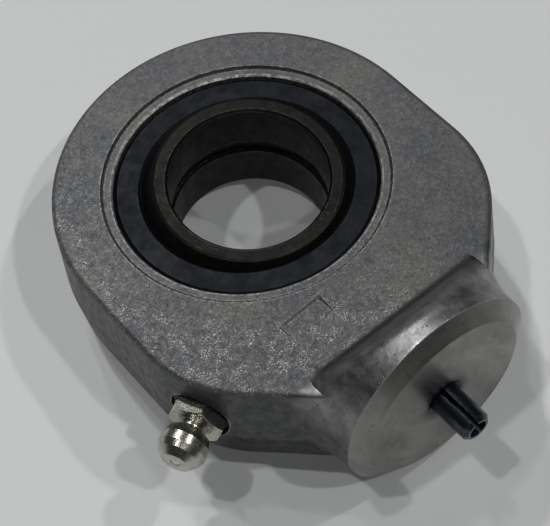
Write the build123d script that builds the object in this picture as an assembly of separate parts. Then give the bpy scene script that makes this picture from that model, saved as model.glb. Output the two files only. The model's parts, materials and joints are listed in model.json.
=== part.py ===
from build123d import *

import os
from math import cos, radians, sin, sqrt, tan

# Rod end bearing: a forged eye with a round welding shank and a staked spherical plain bearing.
# Millimetres. Origin: centre of the bearing. +Z: axis of the bearing seat. -Y: along the shank.

# Spherical plain bearing
BORE_R = 12.5
RING_OD_R = 21.0
INNER_WIDTH = 20.0
OUTER_WIDTH = 16.0
SPHERE_R = 17.75
SPHERE_CLEARANCE = 0.05
INNER_BORE_CHAMFER = 0.4
INNER_RIM_CHAMFER = 0.25
OUTER_OD_CHAMFER = 0.9
OUTER_MOUTH_R = 16.9
GROOVE_HALF_WIDTH = 1.5
GROOVE_DEPTH = 0.7
GREASE_HOLE_R = 1.25
SPLIT_WIDTH = 0.12
SPLIT_ANGLE = 75.0
# How far the inner ring is stored leaning towards the shank, in degrees about +X
RING_REST_TILT = 5.0

# Forged eye. Each outline is the radius of the round far side, which is also half the width,
# the radius of the corner into the 45 degree shoulder, and the shoulder's |x| + |y|
EYE_HALF = 9.0
PARTING_Z = -3.0
UPPER_OUTLINE = (30.3, 21.0, 53.2)
PARTING_OUTLINE = (30.7, 20.0, 54.2)
LOWER_OUTLINE = (30.1, 20.0, 53.6)
EYE_NECK_X = 10.0
EYE_EDGE_R = 1.0

# Staked lips
LIP_MOUTH_R = 20.8
LIP_LEVEL = 8.6
STAKE_GROOVE_R = 22.4
STAKE_GROOVE_DEPTH = 0.25
STAKE_GROOVE_WIDTH = 0.45

# Shallow blank panel in the upper face
PANEL_X = -9.3
PANEL_Y = -26.2
PANEL_LENGTH = 7.2
PANEL_WIDTH = 3.6
PANEL_DEPTH = 0.2
PANEL_TURN = 2.0
PANEL_SLOPE = -5.0

# Welding shank
SHANK_R = 17.0
CENTRE_TO_WELD_FACE = 45.0
WELD_FACE_R = 14.2
BEVEL_LENGTH = 1.8
RAMP_FOOT_Y = -34.0
RAMP_ANGLE = 55.0
RAMP_FOOT_R = 2.5
RAMP_RIM_R = 3.5
RAMP_CREST_Z = 21.0
SHANK_ROOT_Y = -18.0
NECK_END_Y = -40.0
NECK_FLARE = 0.36
NECK_BLEND_R = 12.0

# Centring pin: slotted spring pin, squeezed where it sits in its hole
PIN_R = 2.5
PIN_SEAT_R = 2.45
PIN_WALL = 1.0
PIN_PROJECTION = 7.0
PIN_SEAT_LENGTH = 7.0
PIN_SLOT = 0.8
PIN_SLOT_ANGLE = 101.0
PIN_END_CHAMFER = 0.6
PIN_HOLE_DEPTH = 7.5
PIN_COUNTERSINK_R = 3.3
PIN_COUNTERSINK_DEPTH = 0.8
DRILL_POINT_ANGLE = 59.0

# Grease nipple. Its axis points out at NIPPLE_ANGLE from +X and misses the bearing's axis by
# NIPPLE_OFFSET. Lengths along it start at the spot face, SEAT_DISTANCE from its nearest point
# to the bearing's axis
NIPPLE_ANGLE = 207.0
NIPPLE_OFFSET = 7.8
SEAT_DISTANCE = 35.0
SEAT_R = 4.8
THREAD_R = 3.0
THREAD_ROOT_R = 2.6
THREAD_PITCH = 1.0
THREAD_LENGTH = 5.5
THREAD_HOLE_LENGTH = 7.5
THREAD_CLEARANCE = 0.02
HEX_GAP = 0.2
HEX_FLATS = 8.0
HEX_HEIGHT = 2.6
HEX_TURN = 10.0
HEX_CROWN_ANGLE = 30.0
COLLAR_R = 2.7
COLLAR_HEIGHT = 0.3
WAIST_R = 2.15
# Barrel-shaped head: radius and height above the collar, from the waist to the rim of the mouth
HEAD_PROFILE = ((WAIST_R, 0.6), (3.2, 1.3), (3.75, 2.7), (3.75, 4.1), (3.35, 5.1), (2.3, 6.2))
NIPPLE_BORE_R = 1.3
NIPPLE_INLET_R = 0.75
NIPPLE_OUTLET_R = 0.8
NIPPLE_LEDGE = 0.8
BALL_R = 1.1
BALL_SETBACK = 1.0
BALL_GAP = 0.02
SPRING_COIL_R = 0.85
SPRING_WIRE_R = 0.16
SPRING_TURNS = 8
PASSAGE_R = 1.5

WELD_FACE_Y = -CENTRE_TO_WELD_FACE


def turned(points, axis=Axis.Z):
    """Solid of revolution about axis from corners given in the plane that holds the axis."""
    return revolve(make_face(Polyline(*points, close=True)), axis)


def ring_point(radius, height):
    """Corner of a turned profile: distance from the Z axis and height along it."""
    return (radius, 0, height)


def shank_point(radius, y):
    """Corner of a turned profile: distance from the Y axis and position along it."""
    return (radius, y, 0)


def sphere_radius_at(sphere_r, height):
    return sqrt(sphere_r**2 - height**2)


# ---------------------------------------------------------------- forged housing


def eye_outline(half_width, corner_r, shoulder, level):
    """Plan of the eye: round on the far side, with 45 degree shoulders at the shank."""
    corner_x = half_width - corner_r
    corner_y = half_width - shoulder + corner_r * tan(radians(22.5))
    diagonal = corner_r * cos(radians(45))
    corner_end = (corner_x + diagonal, corner_y - diagonal)
    neck = (EYE_NECK_X, EYE_NECK_X - shoulder)
    edges = [
        ThreePointArc((half_width, 0), (0, half_width), (-half_width, 0)),
        Line((-half_width, 0), (-half_width, corner_y)),
        CenterArc((-corner_x, corner_y), corner_r, 180, 45),
        Line((-corner_end[0], corner_end[1]), (-neck[0], neck[1])),
        Line((-neck[0], neck[1]), neck),
        Line(neck, corner_end),
        CenterArc((corner_x, corner_y), corner_r, 315, 45),
        Line((half_width, corner_y), (half_width, 0)),
    ]
    return Pos(0, 0, level) * make_face(edges)


def eye_blank():
    """Both halves of the eye, drafted away from the parting plane, with rounded rims."""
    upper = eye_outline(*UPPER_OUTLINE, EYE_HALF)
    parting = eye_outline(*PARTING_OUTLINE, PARTING_Z)
    lower = eye_outline(*LOWER_OUTLINE, -EYE_HALF)
    blank = loft([parting, upper], ruled=True) + loft([lower, parting], ruled=True)
    rims = blank.edges().filter_by(lambda edge: abs(abs(edge.center().Z) - EYE_HALF) < 0.001)
    return fillet(rims, EYE_EDGE_R)


def shank_side():
    """Side view of the shank, with a ramp from the flat of the eye on both faces."""
    ramp_run = (RAMP_CREST_Z - EYE_HALF) / tan(radians(RAMP_ANGLE))
    upper = [
        (RAMP_FOOT_Y, EYE_HALF),
        (RAMP_FOOT_Y - ramp_run, RAMP_CREST_Z),
        (WELD_FACE_Y, RAMP_CREST_Z),
    ]
    lower = [(y, -z) for y, z in reversed(upper)]
    points = [(SHANK_ROOT_Y, EYE_HALF)] + upper + lower + [(SHANK_ROOT_Y, -EYE_HALF)]
    side = make_face(Polyline(*points, close=True))
    foot_corners = side.vertices().filter_by(lambda v: abs(v.X - RAMP_FOOT_Y) < 0.001)
    return fillet(foot_corners, RAMP_FOOT_R)


def shank_envelope():
    """Round of the shank: weld bevel, straight part and the neck that flares towards the eye."""
    root_r = SHANK_R + NECK_FLARE * (SHANK_ROOT_Y - NECK_END_Y)
    profile = make_face(
        Polyline(
            (0, SHANK_ROOT_Y),
            (root_r, SHANK_ROOT_Y),
            (SHANK_R, NECK_END_Y),
            (SHANK_R, WELD_FACE_Y + BEVEL_LENGTH),
            (WELD_FACE_R, WELD_FACE_Y),
            (0, WELD_FACE_Y),
            close=True,
        )
    )
    neck_corner = profile.vertices().filter_by(lambda v: abs(v.Y - NECK_END_Y) < 0.001)
    return revolve(fillet(neck_corner, NECK_BLEND_R), Axis.Y)


def on_ramp_rim(edge):
    """Whether an edge lies between a ramp, or the flat before it, and the round of the neck."""
    middle = edge.center()
    along_shank = WELD_FACE_Y + BEVEL_LENGTH < middle.Y < SHANK_ROOT_Y - 0.01
    across = edge.geom_type == GeomType.LINE and abs(edge.tangent_at(0).X) > 0.99
    return abs(middle.Z) > EYE_HALF - 0.01 and along_shank and not across


def shank_blank():
    """Round shank that swells out of the flat eye over a soft-edged ramp on both faces."""
    envelope = shank_envelope()
    half_width = envelope.bounding_box().max.X
    blank = extrude(Plane.YZ * shank_side(), amount=half_width, both=True) & envelope
    return fillet(blank.edges().filter_by(on_ramp_rim), RAMP_RIM_R)


def bearing_seat_cut():
    """Everything turned out of the eye: seat, staked lips and the groove left by the staking tool."""
    chamfer_height = OUTER_WIDTH / 2 - OUTER_OD_CHAMFER
    lip_under = chamfer_height + RING_OD_R - LIP_MOUTH_R
    groove_in = STAKE_GROOVE_R - STAKE_GROOVE_WIDTH / 2
    groove_out = STAKE_GROOVE_R + STAKE_GROOVE_WIDTH / 2
    upper = [
        (RING_OD_R, chamfer_height),
        (LIP_MOUTH_R, lip_under),
        (LIP_MOUTH_R, LIP_LEVEL - 0.2),
        (LIP_MOUTH_R + 0.25, LIP_LEVEL),
        (groove_in, LIP_LEVEL),
        (STAKE_GROOVE_R, LIP_LEVEL - STAKE_GROOVE_DEPTH),
        (groove_out, EYE_HALF),
        (groove_out, EYE_HALF + 1.0),
    ]
    lower = [(r, -z) for r, z in reversed(upper)]
    profile = [(0, EYE_HALF + 1.0)] + list(reversed(upper)) + list(reversed(lower))
    profile.append((0, -EYE_HALF - 1.0))
    return turned([ring_point(r, z) for r, z in profile])


def pin_hole_cut():
    """Blind drilled hole with a countersunk mouth, in the centre of the weld face."""
    bottom = WELD_FACE_Y + PIN_HOLE_DEPTH
    point = bottom + PIN_SEAT_R / tan(radians(DRILL_POINT_ANGLE))
    return turned(
        [
            shank_point(0, WELD_FACE_Y - 1.0),
            shank_point(PIN_COUNTERSINK_R, WELD_FACE_Y - 1.0),
            shank_point(PIN_COUNTERSINK_R, WELD_FACE_Y),
            shank_point(PIN_SEAT_R, WELD_FACE_Y + PIN_COUNTERSINK_DEPTH),
            shank_point(PIN_SEAT_R, bottom),
            shank_point(0, point),
        ],
        Axis.Y,
    )


def panel_cut():
    """Blank sunk panel with sloping walls, deeper towards the bearing."""
    floor = Rectangle(PANEL_LENGTH, PANEL_WIDTH)
    sunk = extrude(floor, amount=1.0, taper=-45)
    return Pos(PANEL_X, PANEL_Y, EYE_HALF - PANEL_DEPTH) * Rot(PANEL_SLOPE, 0, PANEL_TURN) * sunk


def nipple_frame():
    """Plane of the nipple's spot face, with +Z outwards along the nipple and +Y up."""
    angle = radians(NIPPLE_ANGLE)
    outward = Vector(cos(angle), sin(angle), 0)
    sideways = Vector(-sin(angle), cos(angle), 0)
    origin = outward * SEAT_DISTANCE + sideways * NIPPLE_OFFSET
    return Plane(origin=origin, x_dir=sideways, z_dir=outward)


def nipple_seat_cut():
    """Spot face, tapped hole and the passage that leads the grease to the outer ring's groove."""
    frame = nipple_frame()
    seat = Pos(0, 0, SEAT_R) * Cylinder(SEAT_R, 2 * SEAT_R)
    hole = Pos(0, 0, -THREAD_HOLE_LENGTH / 2) * Cylinder(THREAD_R + THREAD_CLEARANCE, THREAD_HOLE_LENGTH)
    bore_distance = sqrt(RING_OD_R**2 - NIPPLE_OFFSET**2)
    passage_length = SEAT_DISTANCE - bore_distance + PASSAGE_R
    passage = Pos(0, 0, -passage_length / 2) * Cylinder(PASSAGE_R, passage_length)
    return frame.location * (seat + hole + passage)


def housing():
    body = eye_blank() + shank_blank()
    body -= bearing_seat_cut()
    body -= pin_hole_cut()
    body -= panel_cut()
    return body - nipple_seat_cut()


# ---------------------------------------------------------------- spherical plain bearing


def radial_holes(length):
    """Two opposite drillings on the X axis."""
    drill = Rot(0, 90, 0) * Cylinder(GREASE_HOLE_R, 2 * length)
    return drill


def band(inner_r, outer_r):
    """Ring used to cut a groove at mid width."""
    width = 2 * GROOVE_HALF_WIDTH
    return Cylinder(outer_r, width) - Cylinder(inner_r, width)


def outer_ring():
    half = OUTER_WIDTH / 2
    race_r = SPHERE_R + SPHERE_CLEARANCE
    mouth_r = sphere_radius_at(race_r, half)
    ring = turned(
        [
            ring_point(mouth_r - 2.0, half),
            ring_point(RING_OD_R - OUTER_OD_CHAMFER, half),
            ring_point(RING_OD_R, half - OUTER_OD_CHAMFER),
            ring_point(RING_OD_R, -half + OUTER_OD_CHAMFER),
            ring_point(RING_OD_R - OUTER_OD_CHAMFER, -half),
            ring_point(mouth_r - 2.0, -half),
        ]
    )
    ring -= Sphere(race_r)
    mouth = Pos(0, 0, half) * Cone(0, OUTER_MOUTH_R, OUTER_MOUTH_R, align=(Align.CENTER, Align.CENTER, Align.MAX))
    ring -= mouth
    ring -= mirror(mouth, about=Plane.XY)
    ring -= band(RING_OD_R - GROOVE_DEPTH, RING_OD_R + 1.0)
    ring -= band(race_r - 1.0, race_r + GROOVE_DEPTH)
    ring -= radial_holes(RING_OD_R + 1.0)
    split = Pos(RING_OD_R, 0, 0) * Box(2 * OUTER_WIDTH, SPLIT_WIDTH, 2 * OUTER_WIDTH)
    return ring - Rot(0, 0, SPLIT_ANGLE) * split


def inner_ring():
    half = INNER_WIDTH / 2
    rim_r = sphere_radius_at(SPHERE_R, half)
    body = Sphere(SPHERE_R) & Cylinder(2 * SPHERE_R, INNER_WIDTH)
    rims = body.edges().filter_by(lambda edge: abs(abs(edge.center().Z) - half) < 0.001)
    body = chamfer(rims, INNER_RIM_CHAMFER)
    flare = INNER_BORE_CHAMFER
    bore = turned(
        [
            ring_point(0, half),
            ring_point(BORE_R + flare, half),
            ring_point(BORE_R, half - flare),
            ring_point(BORE_R, -half + flare),
            ring_point(BORE_R + flare, -half),
            ring_point(0, -half),
        ]
    )
    body -= bore
    body -= band(BORE_R - 1.0, BORE_R + GROOVE_DEPTH)
    body -= band(SPHERE_R - GROOVE_DEPTH, rim_r + SPHERE_R)
    body -= radial_holes(SPHERE_R + 1.0)
    return Rot(RING_REST_TILT, 0, 0) * body


# ---------------------------------------------------------------- centring pin


def centring_pin():
    free_end = WELD_FACE_Y - PIN_PROJECTION
    seat_end = WELD_FACE_Y + PIN_SEAT_LENGTH
    pin = turned(
        [
            shank_point(PIN_R - PIN_WALL, seat_end),
            shank_point(PIN_SEAT_R - PIN_END_CHAMFER, seat_end),
            shank_point(PIN_SEAT_R, seat_end - PIN_END_CHAMFER),
            shank_point(PIN_SEAT_R, WELD_FACE_Y + PIN_COUNTERSINK_DEPTH),
            shank_point(PIN_R, WELD_FACE_Y),
            shank_point(PIN_R, free_end + PIN_END_CHAMFER),
            shank_point(PIN_R - PIN_END_CHAMFER, free_end),
            shank_point(PIN_R - PIN_WALL, free_end),
        ],
        Axis.Y,
    )
    length = PIN_PROJECTION + PIN_SEAT_LENGTH
    middle = (free_end + seat_end) / 2
    slot = Pos(PIN_R, middle, 0) * Box(2 * PIN_R, 2 * length, PIN_SLOT)
    return pin - Rot(0, -PIN_SLOT_ANGLE, 0) * slot


# ---------------------------------------------------------------- grease nipple


def nipple_levels():
    """Heights along the nipple's axis, from the hexagon's back face to the mouth."""
    hex_top = HEX_GAP + HEX_HEIGHT
    collar_top = hex_top + COLLAR_HEIGHT
    return HEX_GAP, hex_top, collar_top, collar_top + HEAD_PROFILE[-1][1]


def thread_profile(base):
    """Corners of the male thread as a row of ridges, from the hexagon down to the tip."""
    corners = [(THREAD_ROOT_R, base)]
    turns = int(THREAD_LENGTH / THREAD_PITCH)
    for turn in range(turns):
        crest = base - (turn + 0.75) * THREAD_PITCH
        corners.append((THREAD_ROOT_R, crest + 0.4 * THREAD_PITCH))
        corners.append((THREAD_R, crest + 0.08 * THREAD_PITCH))
        corners.append((THREAD_R, crest - 0.08 * THREAD_PITCH))
        corners.append((THREAD_ROOT_R, crest - 0.4 * THREAD_PITCH))
    corners.append((THREAD_ROOT_R, base - THREAD_LENGTH))
    return corners


def hexagon(base, hex_top):
    """Hexagon with its corners turned back on the outer side."""
    flats = Pos(0, 0, base) * extrude(RegularPolygon(HEX_FLATS / 2, 6, major_radius=False), amount=HEX_HEIGHT)
    corner_r = HEX_FLATS / sqrt(3) + 0.1
    drop = (corner_r - HEX_FLATS / 2) * tan(radians(HEX_CROWN_ANGLE))
    crown = turned(
        [
            ring_point(0, base),
            ring_point(corner_r, base),
            ring_point(corner_r, hex_top - drop),
            ring_point(HEX_FLATS / 2, hex_top),
            ring_point(0, hex_top),
        ]
    )
    return Rot(0, 0, HEX_TURN) * flats & crown


def nipple_bore(tip):
    """Inside of the nipple: outlet ledge, spring chamber, ball seat and mouth."""
    bottom = HEX_GAP - THREAD_LENGTH
    ball_level = tip - BALL_SETBACK
    cone_angle = radians(45)
    touch_r = (BALL_R + BALL_GAP) * cos(cone_angle)
    touch_level = ball_level + (BALL_R + BALL_GAP) * sin(cone_angle)
    cone_base = touch_level - (NIPPLE_BORE_R - touch_r)
    cone_top = touch_level + (touch_r - NIPPLE_INLET_R)
    return turned(
        [
            ring_point(0, bottom - 1.0),
            ring_point(NIPPLE_OUTLET_R, bottom - 1.0),
            ring_point(NIPPLE_OUTLET_R, bottom + NIPPLE_LEDGE),
            ring_point(NIPPLE_BORE_R, bottom + NIPPLE_LEDGE),
            ring_point(NIPPLE_BORE_R, cone_base),
            ring_point(NIPPLE_INLET_R, cone_top),
            ring_point(NIPPLE_INLET_R, tip + 1.0),
            ring_point(0, tip + 1.0),
        ]
    )


def grease_nipple():
    base, hex_top, collar_top, tip = nipple_levels()
    corners = [(0, tip)]
    corners += [(r, collar_top + height) for r, height in reversed(HEAD_PROFILE)]
    corners += [(WAIST_R, collar_top), (COLLAR_R, collar_top), (COLLAR_R, hex_top - 0.5)]
    corners += [(THREAD_ROOT_R, hex_top - 0.5)] + thread_profile(base)
    corners += [(0, base - THREAD_LENGTH)]
    body = turned([ring_point(r, z) for r, z in corners]) + hexagon(base, hex_top)
    return nipple_frame().location * (body - nipple_bore(tip))


def ball_level():
    return nipple_levels()[-1] - BALL_SETBACK


def check_ball():
    return nipple_frame().location * Pos(0, 0, ball_level()) * Sphere(BALL_R)


def check_spring():
    """Round wire coil between the ledge and the ball."""
    bottom = HEX_GAP - THREAD_LENGTH + NIPPLE_LEDGE + SPRING_WIRE_R + BALL_GAP
    rest_r = BALL_R + SPRING_WIRE_R + BALL_GAP
    top = ball_level() - sqrt(rest_r**2 - SPRING_COIL_R**2)
    height = top - bottom
    coil = Helix(pitch=height / SPRING_TURNS, height=height, radius=SPRING_COIL_R)
    section = Plane(coil @ 0, z_dir=coil % 0) * Circle(SPRING_WIRE_R)
    return nipple_frame().location * Pos(0, 0, bottom) * sweep(section, path=coil)


PARTS = {
    "housing": housing,
    "outer_ring": outer_ring,
    "inner_ring": inner_ring,
    "grease_nipple": grease_nipple,
    "check_ball": check_ball,
    "check_spring": check_spring,
    "centring_pin": centring_pin,
}

os.makedirs("parts", exist_ok=True)
for node, build in PARTS.items():
    export_step(build(), f"parts/{node}.step")
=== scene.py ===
import json
from math import cos, pi, radians, sin

import bpy
from mathutils import Matrix, Vector

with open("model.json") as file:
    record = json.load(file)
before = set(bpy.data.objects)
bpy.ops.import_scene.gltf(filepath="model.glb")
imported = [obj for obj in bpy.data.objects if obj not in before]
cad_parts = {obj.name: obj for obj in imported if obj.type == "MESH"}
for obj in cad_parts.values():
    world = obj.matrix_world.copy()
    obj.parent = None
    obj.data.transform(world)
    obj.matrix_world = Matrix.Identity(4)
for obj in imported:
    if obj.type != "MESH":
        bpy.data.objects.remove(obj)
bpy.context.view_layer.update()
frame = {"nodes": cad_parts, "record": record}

MM = 0.001

# Sizes of the part that the materials follow, in millimetres, in the part's own frame
LIP_IN_R = 20.7
LIP_OUT_R = 22.65
LIP_Z = 7.2
EYE_HALF = 9.0
PARTING_Z = -3.0
BEVEL_START_Y = -43.2
PIN_HOLE_R = 3.3
# Where the flat faces of the eye end, and where the lighter steel of the neck begins
RAMP_Y = -34.0
NECK_Y = -35.0
# Pitch of the turning marks on the weld face, over two pi
TURNING_PITCH = 0.3
# Phase that a wave texture adds over one unit of distance
WAVE_PHASE = 20.0

# Colours of the forging
FACE_COOL = (0.122, 0.127, 0.138)
FACE_WARM = (0.170, 0.167, 0.158)
FACE_RUST = (0.150, 0.112, 0.098)
FACE_DARK = (0.050, 0.050, 0.052)
FACE_LIGHT = (0.42, 0.42, 0.41)
# Painted highlight colour for the glints, also used for worn edges and the ragged lip rim.
FACE_WEAR_AND_GLINT = (0.72, 0.72, 0.70)
# Side wall colours: darker copies of the face steel, painted shade for the walls turned away from
# the overhead lamps.
SIDE_DARK = (0.070, 0.072, 0.075)
SIDE_LIGHT = (0.096, 0.097, 0.097)
# Painted shade under the parting line, where the walls face down.
SIDE_BELOW_SHADE = (0.024, 0.025, 0.027)
NECK_DARK = (0.200, 0.202, 0.202)
NECK_LIGHT = (0.310, 0.308, 0.298)

# Colours of the machined weld end
TURNED_DARK = (0.185, 0.182, 0.168)
TURNED_LIGHT = (0.245, 0.240, 0.222)
TURNED_GRAIN = (0.12, 0.12, 0.12)
TURNED_MARKS = (0.13, 0.13, 0.13)
TURNED_STAIN = (0.11, 0.11, 0.12)
# Painted shade round the mouth of the pin hole.
TURNED_MOUTH_SHADE = (0.035, 0.035, 0.038)

# Colours of the bearing rings, the nipple, the pin and the ball with its spring
OUTER_DARK = (0.010, 0.0112, 0.0138)
OUTER_LIGHT = (0.0155, 0.017, 0.0195)
INNER_DARK = (0.0105, 0.0110, 0.0100)
INNER_LIGHT = (0.0185, 0.0185, 0.0155)
RING_WORN = (0.30, 0.30, 0.28)
ZINC_DARK = (0.36, 0.355, 0.30)
ZINC_LIGHT = (0.54, 0.53, 0.46)
ZINC_GRIME = (0.15, 0.145, 0.12)
ZINC_EDGE = (0.78, 0.77, 0.70)
OXIDE_DARK = (0.028, 0.034, 0.046)
OXIDE_LIGHT = (0.066, 0.076, 0.095)
OXIDE_WORN = (0.38, 0.39, 0.41)
STEEL_DARK = (0.50, 0.50, 0.50)
STEEL_LIGHT = (0.66, 0.66, 0.65)

# Colours of the room
ROOM_HORIZON = (0.036, 0.038, 0.042, 1.0)
ROOM_OVERHEAD = (0.015, 0.017, 0.020, 1.0)

# Camera: where it stands about the aim point, and how it is rolled
CAMERA_AIM = Vector((-3.392, -10.084, 0.0)) * MM
CAMERA_AZIMUTH = -32.002
CAMERA_ELEVATION = 55.914
CAMERA_ROLL = -8.774
CAMERA_DISTANCE = 249.342 * MM
CAMERA_LENS = 105.47
CAMERA_SENSOR = 36.0

# The part lies on the far edge of its eye and the edge of its shank, so the floor rises by this much
# for each unit along +Y, and stands this high under the origin
FLOOR_RISE = 0.116
FLOOR_AT_ORIGIN = -12.41 * MM
FLOOR_SIZE = 4.0
FLOOR_REFLECTANCE = 0.72

# Ceiling lamps: lean of the direction to each lamp from the floor's normal, along X and along
# the floor's rise, and the brightness it gives the floor
LAMPS = {
    "lamp_left": (-0.316, 0.201, 0.097),
    "lamp_back": (0.063, 0.712, 0.098),
    "lamp_back_near": (-0.024, 0.474, 0.041),
    "lamp_front": (0.261, -0.446, 0.0955),
    "lamp_right": (0.623, -0.144, 0.081),
    "lamp_front_left": (-0.442, -0.524, 0.055),
    "lamp_far": (0.305, 1.016, 0.042),
}
LAMP_ANGLE = 2.4


# ---------------------------------------------------------------- node helpers


class Shader:
    """A material's node tree, with short names for the nodes that the looks are built from."""

    def __init__(self, name):
        self.material = bpy.data.materials.new(name)
        self.material.use_nodes = True
        self.tree = self.material.node_tree
        self.tree.nodes.clear()
        output = self.add("ShaderNodeOutputMaterial")
        self.surface = self.add("ShaderNodeBsdfPrincipled")
        self.join(self.surface.outputs[0], output.inputs["Surface"])
        coordinates = self.add("ShaderNodeTexCoord")
        self.place = coordinates.outputs["Object"]
        split = self.add("ShaderNodeSeparateXYZ")
        self.join(self.place, split.inputs[0])
        self.x, self.y, self.z = split.outputs

    def add(self, kind):
        return self.tree.nodes.new(kind)

    def join(self, source, socket):
        if isinstance(source, (int, float)):
            socket.default_value = source
        elif isinstance(source, tuple):
            socket.default_value = source if socket.type == "VECTOR" else (*source, 1.0)
        else:
            self.tree.links.new(source, socket)

    def maths(self, operation, *values):
        node = self.add("ShaderNodeMath")
        node.operation = operation
        for value, socket in zip(values, node.inputs):
            self.join(value, socket)
        return node.outputs[0]

    def vector_maths(self, operation, *values, output=0):
        node = self.add("ShaderNodeVectorMath")
        node.operation = operation
        for value, socket in zip(values, node.inputs):
            self.join(value, socket)
        return node.outputs[output]

    def ramp(self, value, low, high, to_low=0.0, to_high=1.0, smooth=True):
        """Value brought from low..high to to_low..to_high, and held there outside."""
        node = self.add("ShaderNodeMapRange")
        node.interpolation_type = "SMOOTHSTEP" if smooth else "LINEAR"
        for number, socket in zip((value, low, high, to_low, to_high), node.inputs):
            self.join(number, socket)
        return node.outputs[0]

    def noise(self, size, detail=2.0, rough=0.5, place=None, stretch=None):
        """Noise with features of about size millimetres, stretched by a factor along each axis."""
        node = self.add("ShaderNodeTexNoise")
        source = self.place if place is None else place
        if stretch:
            source = self.vector_maths("DIVIDE", source, stretch)
        self.join(source, node.inputs["Vector"])
        node.inputs["Scale"].default_value = 1.0 / (size * MM)
        node.inputs["Detail"].default_value = detail
        node.inputs["Roughness"].default_value = rough
        return node.outputs[0]

    def cells(self, size, output="Distance"):
        """Cells of about size millimetres: distance from the middle of each, or its own colour."""
        node = self.add("ShaderNodeTexVoronoi")
        self.join(self.place, node.inputs["Vector"])
        node.inputs["Scale"].default_value = 1.0 / (size * MM)
        return node.outputs[output]

    def rotated(self, degrees):
        """Object coordinates turned by angles about X, Y and Z."""
        node = self.add("ShaderNodeMapping")
        self.join(self.place, node.inputs["Vector"])
        node.inputs["Rotation"].default_value = [radians(angle) for angle in degrees]
        return node.outputs[0]

    def radius(self, a, b):
        """Distance from an axis, in millimetres, from two coordinates across it."""
        squares = self.maths("ADD", self.maths("MULTIPLY", a, a), self.maths("MULTIPLY", b, b))
        return self.maths("DIVIDE", self.maths("SQRT", squares), MM)

    def within(self, value, low, high, edge):
        """1 between low and high, falling to 0 over edge outside them."""
        rise = self.ramp(value, low - edge, low)
        fall = self.ramp(value, high, high + edge, 1.0, 0.0)
        return self.maths("MULTIPLY", rise, fall)

    def mix(self, share, low, high):
        """Colour between low and high."""
        node = self.add("ShaderNodeMix")
        node.data_type = "RGBA"
        self.join(share, node.inputs[0])
        self.join(low, node.inputs[6])
        self.join(high, node.inputs[7])
        return node.outputs[2]

    def shade(self, colour, factor):
        """Colour made brighter or darker by a factor."""
        return self.vector_maths("MULTIPLY", colour, self.triple(factor))

    def triple(self, value):
        """Vector with the same number three times."""
        node = self.add("ShaderNodeCombineXYZ")
        for socket in node.inputs:
            self.join(value, socket)
        return node.outputs[0]

    def edges(self, reach):
        """1 on edges sharper than the reach in millimetres, 0 on flat surfaces."""
        bevel = self.add("ShaderNodeBevel")
        bevel.samples = 4
        bevel.inputs["Radius"].default_value = reach * MM
        geometry = self.add("ShaderNodeNewGeometry")
        normal = geometry.outputs["Normal"]
        alike = self.vector_maths("DOT_PRODUCT", bevel.outputs[0], normal, output=1)
        return self.ramp(alike, 0.995, 0.85)

    def bump(self, height, depth):
        """Bumps as deep as depth millimetres for a height that goes from 0 to 1."""
        node = self.add("ShaderNodeBump")
        node.inputs["Strength"].default_value = 1.0
        node.inputs["Distance"].default_value = depth * MM
        self.join(height, node.inputs["Height"])
        return node.outputs[0]

    def finish(self, colour, roughness, metallic, normal):
        """The material, with these as its surface."""
        self.join(colour, self.surface.inputs["Base Color"])
        self.join(roughness, self.surface.inputs["Roughness"])
        self.join(metallic, self.surface.inputs["Metallic"])
        self.join(normal, self.surface.inputs["Normal"])
        return self.material


def scratches(shader, turn, length, width, amount):
    """Sparse fine lines that run one way, 1 on a line."""
    place = shader.rotated(turn)
    lines = shader.noise(width, 0.0, 0.5, place, (length / width, 1.0, 1.0))
    return shader.ramp(lines, amount, amount + 0.05)


def blend(shader, share, low, high):
    """Number between low and high."""
    low_part = shader.maths("MULTIPLY", low, shader.maths("SUBTRACT", 1.0, share))
    return shader.maths("ADD", low_part, shader.maths("MULTIPLY", high, share))


def either(shader, *shares):
    """Largest of several shares."""
    total = shares[0]
    for share in shares[1:]:
        total = shader.maths("MAXIMUM", total, share)
    return total


def both(shader, *shares):
    """Product of several shares: 1 only where all of them are."""
    total = shares[0]
    for share in shares[1:]:
        total = shader.maths("MULTIPLY", total, share)
    return total


# ---------------------------------------------------------------- materials


def blasted_face(s, grain, wear_and_glint):
    """Colour of the flat forged faces: grey with warm and cool areas, specks and pits, with painted
    sheen in the grain on the glint side and painted shading that is darker towards -Y.
    """
    areas = s.noise(11.0, 3.0, 0.6)
    mottle = s.noise(1.3, 4.0, 0.7)
    tone = s.maths("ADD", s.maths("MULTIPLY", areas, 0.45), s.maths("MULTIPLY", mottle, 0.55))
    colour = s.mix(s.ramp(tone, 0.40, 0.60), FACE_COOL, FACE_WARM)
    rust = s.ramp(s.noise(2.4, 4.0, 0.65, s.rotated((20, 40, 60))), 0.58, 0.72)
    colour = s.mix(s.maths("MULTIPLY", rust, 0.45), colour, FACE_RUST)
    smudge = s.ramp(s.noise(3.5, 5.0, 0.75, s.rotated((70, 10, 30))), 0.60, 0.70)
    colour = s.mix(s.maths("MULTIPLY", smudge, 0.4), colour, FACE_DARK)
    # Darker grain hollows and lighter crests, stronger on the glint side: partly grain, partly
    # painted sheen.
    hollows = s.maths("MULTIPLY", s.ramp(grain, 0.46, 0.30), s.ramp(wear_and_glint, 0.0, 1.0, 0.45, 0.8))
    colour = s.mix(hollows, colour, FACE_DARK)
    crests = s.maths("MULTIPLY", s.ramp(grain, 0.54, 0.72), s.ramp(wear_and_glint, 0.0, 1.0, 0.26, 0.48))
    colour = s.mix(crests, colour, FACE_LIGHT)
    # Painted shading: the faces darker towards -Y and lighter towards +Y.
    return s.shade(colour, s.ramp(s.y, -28.0 * MM, 12.0 * MM, 0.90, 1.06))


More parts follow.
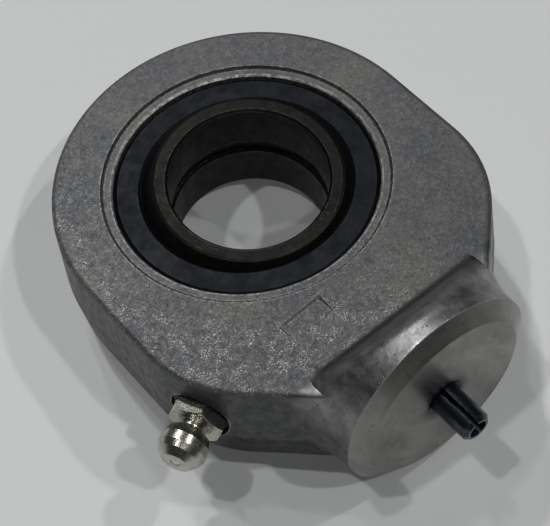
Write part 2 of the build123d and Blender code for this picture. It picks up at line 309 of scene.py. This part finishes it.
def glint_and_wear_side(s):
    """0 on the far right of the eye, 1 on its nipple side: where painted glints and painted sheen in
    the grain stand for the lamps' highlights, with some wear.
    """
    towards = s.maths("ADD", s.maths("MULTIPLY", s.x, -0.9), s.maths("MULTIPLY", s.y, -0.45))
    return s.ramp(towards, -20.0 * MM, 26.0 * MM, 0.0, 1.0, smooth=False)


def glints(s, fine, from_seat_axis, wear_and_glint):
    """Painted highlights: bright specks and short lines, closest together along the rim of the glint
    side, partly standing for wear.
    """
    rim = both(s, s.ramp(from_seat_axis, 24.5, 29.0), s.ramp(wear_and_glint, 0.45, 0.85))
    wear_and_glint = blend(s, rim, s.ramp(wear_and_glint, 0.0, 1.0, 0.08, 0.5), 1.0)
    fine = s.maths("ADD", fine, s.maths("MULTIPLY", rim, 0.04))
    cluster = s.ramp(s.noise(2.0, 3.0, 0.6, s.rotated((35, 0, 15))), 0.42, 0.62)
    specks = s.ramp(fine, 0.60, 0.70)
    lines = either(
        s,
        scratches(s, (0, 0, 35), 1.1, 0.10, 0.745),
        scratches(s, (0, 0, -52), 0.9, 0.10, 0.75),
        scratches(s, (0, 0, 4), 1.3, 0.09, 0.75),
    )
    return both(s, wear_and_glint, either(s, both(s, specks, cluster), s.maths("MULTIPLY", lines, 0.6)))


def turned_face(s):
    """Colour, ring marks and roughness of the machined weld end, with painted shade round the pin
    hole.
    """
    turning = s.add("ShaderNodeTexWave")
    turning.wave_type = "RINGS"
    turning.rings_direction = "Y"
    s.join(s.place, turning.inputs["Vector"])
    turning.inputs["Scale"].default_value = 1.0 / (WAVE_PHASE * TURNING_PITCH * MM)
    turning.inputs["Distortion"].default_value = 0.6
    turning.inputs["Detail"].default_value = 2.0
    rings = turning.outputs["Fac"]
    handled = s.noise(5.0, 4.0, 0.6, s.rotated((0, 30, 0)), (1.0, 1.0, 2.2))
    grain = s.noise(0.5, 4.0, 0.7)
    colour = s.mix(s.ramp(handled, 0.35, 0.65), TURNED_DARK, TURNED_LIGHT)
    colour = s.mix(s.maths("MULTIPLY", s.ramp(grain, 0.45, 0.25), 0.35), colour, TURNED_GRAIN)
    colour = s.mix(s.maths("MULTIPLY", rings, 0.12), colour, TURNED_MARKS)
    stain = s.ramp(s.noise(2.6, 4.0, 0.65, s.rotated((50, 0, 10))), 0.57, 0.68)
    colour = s.mix(s.maths("MULTIPLY", stain, 0.5), colour, TURNED_STAIN)
    from_axis = s.radius(s.x, s.z)
    # Painted shade: a dark ring round the mouth of the pin hole.
    mouth_shade = s.ramp(from_axis, PIN_HOLE_R + 1.6, PIN_HOLE_R - 0.1)
    colour = s.mix(s.maths("MULTIPLY", mouth_shade, 0.8), colour, TURNED_MOUTH_SHADE)
    return colour, rings, s.ramp(handled, 0.3, 0.7, 0.42, 0.30)


def forged_steel():
    """Blasted forging, with machined faces at the bearing seat and at the weld end."""
    s = Shader("forged_steel")
    from_seat_axis = s.radius(s.x, s.y)
    z = s.maths("DIVIDE", s.z, MM)
    y = s.maths("DIVIDE", s.y, MM)
    height_off = s.maths("ABSOLUTE", z)

    grain = s.noise(0.42, 4.0, 0.8)
    fine = s.noise(0.20, 1.0, 0.5, s.rotated((15, 25, 35)))
    mottle = s.noise(1.6, 4.0, 0.65)

    weld_end = s.ramp(y, BEVEL_START_Y + 0.05, BEVEL_START_Y - 0.1)
    on_eye = s.ramp(y, RAMP_Y - 0.6, RAMP_Y + 1.2)
    flat = both(s, s.within(height_off, EYE_HALF - 0.5, EYE_HALF + 0.3, 0.3), on_eye)
    seat_wall = s.ramp(from_seat_axis, LIP_OUT_R + 0.1, LIP_OUT_R - 0.1)
    lip_band = s.within(from_seat_axis, LIP_IN_R, LIP_OUT_R, 0.15)
    lip = both(s, seat_wall, lip_band, s.ramp(height_off, LIP_Z, LIP_Z + 0.3))
    face = either(s, flat, lip)
    # Painted shade: the walls under the parting line are darkened.
    wavy_z = s.maths("ADD", z, s.ramp(mottle, 0.3, 0.7, -0.3, 0.3))
    below_shade = s.ramp(wavy_z, PARTING_Z + 0.2, PARTING_Z - 0.8)

    # Painted shade: the side walls take a darker copy of the steel colour.
    side = s.mix(s.ramp(mottle, 0.35, 0.65), SIDE_DARK, SIDE_LIGHT)
    neck = s.mix(s.ramp(s.noise(2.2, 5.0, 0.7), 0.34, 0.66), NECK_DARK, NECK_LIGHT)
    on_neck = both(s, s.ramp(y, NECK_Y + 1.5, NECK_Y - 1.5), s.ramp(z, 0.0, 9.0))
    side = s.mix(on_neck, side, neck)
    side = s.mix(s.maths("MULTIPLY", s.ramp(grain, 0.40, 0.25), 0.4), side, FACE_DARK)
    side = s.mix(s.maths("MULTIPLY", below_shade, 0.8), side, SIDE_BELOW_SHADE)
    wear_and_glint = glint_and_wear_side(s)
    colour = s.mix(face, side, blasted_face(s, grain, wear_and_glint))

    some_cells = s.ramp(s.cells(1.1, output="Color"), 0.55, 0.6)
    pits = both(s, s.ramp(s.cells(1.1), 0.16, 0.08), some_cells)
    colour = s.mix(s.maths("MULTIPLY", pits, 0.6), colour, FACE_DARK)
    ragged = s.ramp(s.noise(0.45, 3.0, 0.7), 0.44, 0.60)
    worn = both(s, s.edges(0.6), ragged)
    near_mouth = s.ramp(from_seat_axis, LIP_IN_R + 0.65, LIP_IN_R + 0.3)
    rim = both(s, lip, near_mouth, s.ramp(s.noise(0.8, 4.0, 0.75), 0.42, 0.58))
    # Lighter marks: painted highlights from the glints, real worn edges, and the ragged rim at the
    # lip's mouth.
    shine = both(s, glints(s, fine, from_seat_axis, wear_and_glint), face)
    bright = either(
        s,
        s.maths("MULTIPLY", shine, 0.6),
        s.maths("MULTIPLY", worn, 0.5),
        s.maths("MULTIPLY", rim, 0.55),
    )
    colour = s.mix(bright, colour, FACE_WEAR_AND_GLINT)

    machined, rings, machined_rough = turned_face(s)
    colour = s.mix(weld_end, colour, machined)

    side_rough = s.ramp(mottle, 0.3, 0.7, 0.50, 0.36)
    rough = blend(s, face, side_rough, s.ramp(grain, 0.3, 0.7, 0.70, 0.52))
    rough = s.maths("SUBTRACT", rough, s.maths("MULTIPLY", bright, 0.2))
    rough = blend(s, weld_end, rough, machined_rough)

    relief = s.maths("ADD", s.maths("MULTIPLY", grain, 0.7), s.maths("MULTIPLY", fine, 0.3))
    relief = s.maths("MULTIPLY", relief, s.ramp(face, 0.0, 1.0, 0.35, 1.0))
    relief = s.maths("ADD", relief, s.maths("MULTIPLY", mottle, 0.9))
    relief = s.maths("SUBTRACT", relief, s.maths("MULTIPLY", pits, 0.8))
    relief = blend(s, weld_end, relief, s.maths("MULTIPLY", rings, 0.10))
    return s.finish(colour, rough, 1.0, s.bump(relief, 0.065))


def ring_finish(name, dark, light, roughness, grooves, wear_and_glint):
    """Turned and phosphated ring: faint circular tool marks, worn edges and fine scratches."""
    s = Shader(name)
    mottle = s.noise(2.2, 4.0, 0.6)
    fine = s.noise(0.25, 2.0, 0.6)
    marks = s.noise(0.16, 1.0, 0.5, s.triple(s.maths("MULTIPLY", s.radius(s.x, s.y), MM)))
    scuffs = either(
        s,
        scratches(s, (0, 0, 70), 2.2, 0.10, 0.76),
        scratches(s, (0, 0, -20), 1.6, 0.09, 0.77),
    )
    worn = both(s, s.edges(0.3), s.ramp(s.noise(0.7, 3.0, 0.6), 0.35, 0.6))
    colour = s.mix(s.ramp(mottle, 0.3, 0.7), dark, light)
    speckle = s.maths("MULTIPLY", s.ramp(fine, 0.5, 0.8), 0.3)
    colour = s.mix(speckle, colour, tuple(c * 2.0 for c in light))
    touched = either(s, s.maths("MULTIPLY", scuffs, 0.3), worn)
    colour = s.mix(s.maths("MULTIPLY", touched, wear_and_glint), colour, RING_WORN)
    rough = s.ramp(mottle, 0.3, 0.7, roughness + 0.06, roughness - 0.06)
    rough = s.maths("SUBTRACT", rough, s.maths("MULTIPLY", worn, 0.12))
    relief = s.maths("ADD", s.maths("MULTIPLY", fine, 0.5), s.maths("MULTIPLY", marks, grooves))
    s.surface.inputs["Specular IOR Level"].default_value = 0.25
    return s.finish(colour, rough, 0.85, s.bump(relief, 0.012))


def plated_steel():
    """Bright zinc over a turned head and a pressed hexagon."""
    s = Shader("plated_steel")
    mottle = s.noise(0.9, 4.0, 0.65)
    grain = s.noise(0.18, 3.0, 0.65)
    colour = s.mix(s.ramp(mottle, 0.3, 0.7), ZINC_DARK, ZINC_LIGHT)
    colour = s.mix(s.maths("MULTIPLY", s.ramp(grain, 0.42, 0.28), 0.4), colour, ZINC_GRIME)
    colour = s.mix(s.maths("MULTIPLY", s.edges(0.25), 0.4), colour, ZINC_EDGE)
    rough = s.ramp(grain, 0.3, 0.7, 0.34, 0.20)
    return s.finish(colour, rough, 1.0, s.bump(s.maths("ADD", grain, mottle), 0.012))


def blackened_steel():
    """Oiled black oxide."""
    s = Shader("blackened_steel")
    mottle = s.noise(0.8, 3.0, 0.6, None, (1.0, 4.0, 1.0))
    fine = s.noise(0.15, 2.0, 0.6)
    colour = s.mix(s.ramp(mottle, 0.3, 0.7), OXIDE_DARK, OXIDE_LIGHT)
    worn = both(s, s.edges(0.2), s.ramp(s.noise(0.5, 3.0, 0.6), 0.35, 0.6))
    colour = s.mix(s.maths("MULTIPLY", worn, 0.6), colour, OXIDE_WORN)
    rough = s.ramp(mottle, 0.3, 0.7, 0.36, 0.22)
    return s.finish(colour, rough, 0.9, s.bump(fine, 0.006))


def bright_steel(name, roughness):
    """Bare polished or drawn steel."""
    s = Shader(name)
    fine = s.noise(0.12, 2.0, 0.5)
    rough = s.ramp(fine, 0.3, 0.7, roughness + 0.05, roughness)
    return s.finish(s.mix(fine, STEEL_DARK, STEEL_LIGHT), rough, 1.0, s.bump(fine, 0.002))


def floor_material():
    """Pale smooth table top."""
    s = Shader("table_top")
    broad = s.noise(120.0, 2.0, 0.5)
    fine = s.noise(0.9, 2.0, 0.5)
    low = tuple(FLOOR_REFLECTANCE * c * 0.985 for c in (0.985, 0.997, 1.0))
    high = tuple(FLOOR_REFLECTANCE * c for c in (0.992, 1.0, 1.0))
    rough = s.ramp(fine, 0.3, 0.7, 0.62, 0.55)
    return s.finish(s.mix(broad, low, high), rough, 0.0, s.bump(fine, 0.004))


def paint_nodes():
    """Gives each CAD node the material of its slot."""
    finishes = {
        "forged_steel": forged_steel(),
        "phosphated_steel": ring_finish(
            "phosphated_steel", OUTER_DARK, OUTER_LIGHT, roughness=0.5, grooves=0.5, wear_and_glint=0.10
        ),
        "oiled_phosphate": ring_finish(
            "oiled_phosphate", INNER_DARK, INNER_LIGHT, roughness=0.44, grooves=0.4, wear_and_glint=0.55
        ),
        "plated_steel": plated_steel(),
        "bright_steel": bright_steel("bright_steel", 0.12),
        "spring_steel": bright_steel("spring_steel", 0.3),
        "blackened_steel": blackened_steel(),
    }
    for part in frame["record"]["subparts"]:
        data = frame["nodes"][part["node"]].data
        data.materials.clear()
        data.materials.append(finishes[part["material_slot"]])


# ---------------------------------------------------------------- stage


def floor_normal():
    return Vector((0.0, -FLOOR_RISE, 1.0)).normalized()


def make_floor():
    """Table top, tilted as it is when the part's own frame is level."""
    normal = floor_normal()
    across = Vector((1.0, 0.0, 0.0))
    along = normal.cross(across)
    centre = Vector((0.0, 0.0, FLOOR_AT_ORIGIN))
    half = FLOOR_SIZE / 2
    signs = ((-1, -1), (1, -1), (1, 1), (-1, 1))
    corners = [centre + across * a * half + along * b * half for a, b in signs]
    mesh = bpy.data.meshes.new("table_top")
    mesh.from_pydata(corners, [], [(0, 1, 2, 3)])
    mesh.materials.append(floor_material())
    floor = bpy.data.objects.new("table_top", mesh)
    bpy.context.scene.collection.objects.link(floor)


def make_lamps():
    """Ceiling lamps, each as bright on the floor as its row says."""
    normal = floor_normal()
    across = Vector((1.0, 0.0, 0.0))
    along = normal.cross(across)
    for name, (lean_x, lean_rise, brightness) in LAMPS.items():
        towards = (normal + across * lean_x + along * lean_rise).normalized()
        data = bpy.data.lights.new(name, "SUN")
        data.energy = brightness * pi / (FLOOR_REFLECTANCE * towards.dot(normal))
        data.angle = radians(LAMP_ANGLE)
        lamp = bpy.data.objects.new(name, data)
        lamp.rotation_mode = "QUATERNION"
        lamp.rotation_quaternion = towards.to_track_quat("Z", "Y")
        bpy.context.scene.collection.objects.link(lamp)


def make_world():
    """Dim room: darker towards the horizon than overhead."""
    world = bpy.data.worlds.new("room")
    world.use_nodes = True
    tree = world.node_tree
    background = tree.nodes["Background"]
    coordinates = tree.nodes.new("ShaderNodeTexCoord")
    split = tree.nodes.new("ShaderNodeSeparateXYZ")
    tree.links.new(coordinates.outputs["Generated"], split.inputs[0])
    shades = tree.nodes.new("ShaderNodeValToRGB")
    shades.color_ramp.elements[0].position = 0.0
    shades.color_ramp.elements[0].color = ROOM_HORIZON
    shades.color_ramp.elements[1].position = 0.7
    shades.color_ramp.elements[1].color = ROOM_OVERHEAD
    tree.links.new(split.outputs["Z"], shades.inputs[0])
    tree.links.new(shades.outputs[0], background.inputs["Color"])
    bpy.context.scene.world = world


def make_camera():
    azimuth = radians(CAMERA_AZIMUTH)
    elevation = radians(CAMERA_ELEVATION)
    roll = radians(CAMERA_ROLL)
    back = Vector((sin(azimuth) * cos(elevation), -cos(azimuth) * cos(elevation), sin(elevation)))
    level = Vector((cos(azimuth), sin(azimuth), 0.0))
    upright = back.cross(level)
    right = cos(roll) * level + sin(roll) * upright
    up = back.cross(right)
    data = bpy.data.cameras.new("camera")
    data.sensor_width = CAMERA_SENSOR
    data.lens = CAMERA_LENS
    data.clip_start = 0.01
    data.clip_end = 20.0
    camera = bpy.data.objects.new("camera", data)
    turn = Matrix((right, up, back)).transposed().to_4x4()
    camera.matrix_world = Matrix.Translation(CAMERA_AIM + back * CAMERA_DISTANCE) @ turn
    bpy.context.scene.collection.objects.link(camera)
    bpy.context.scene.camera = camera


paint_nodes()
make_floor()
make_lamps()
make_world()
make_camera()
bpy.context.scene.view_settings.view_transform = "Standard"
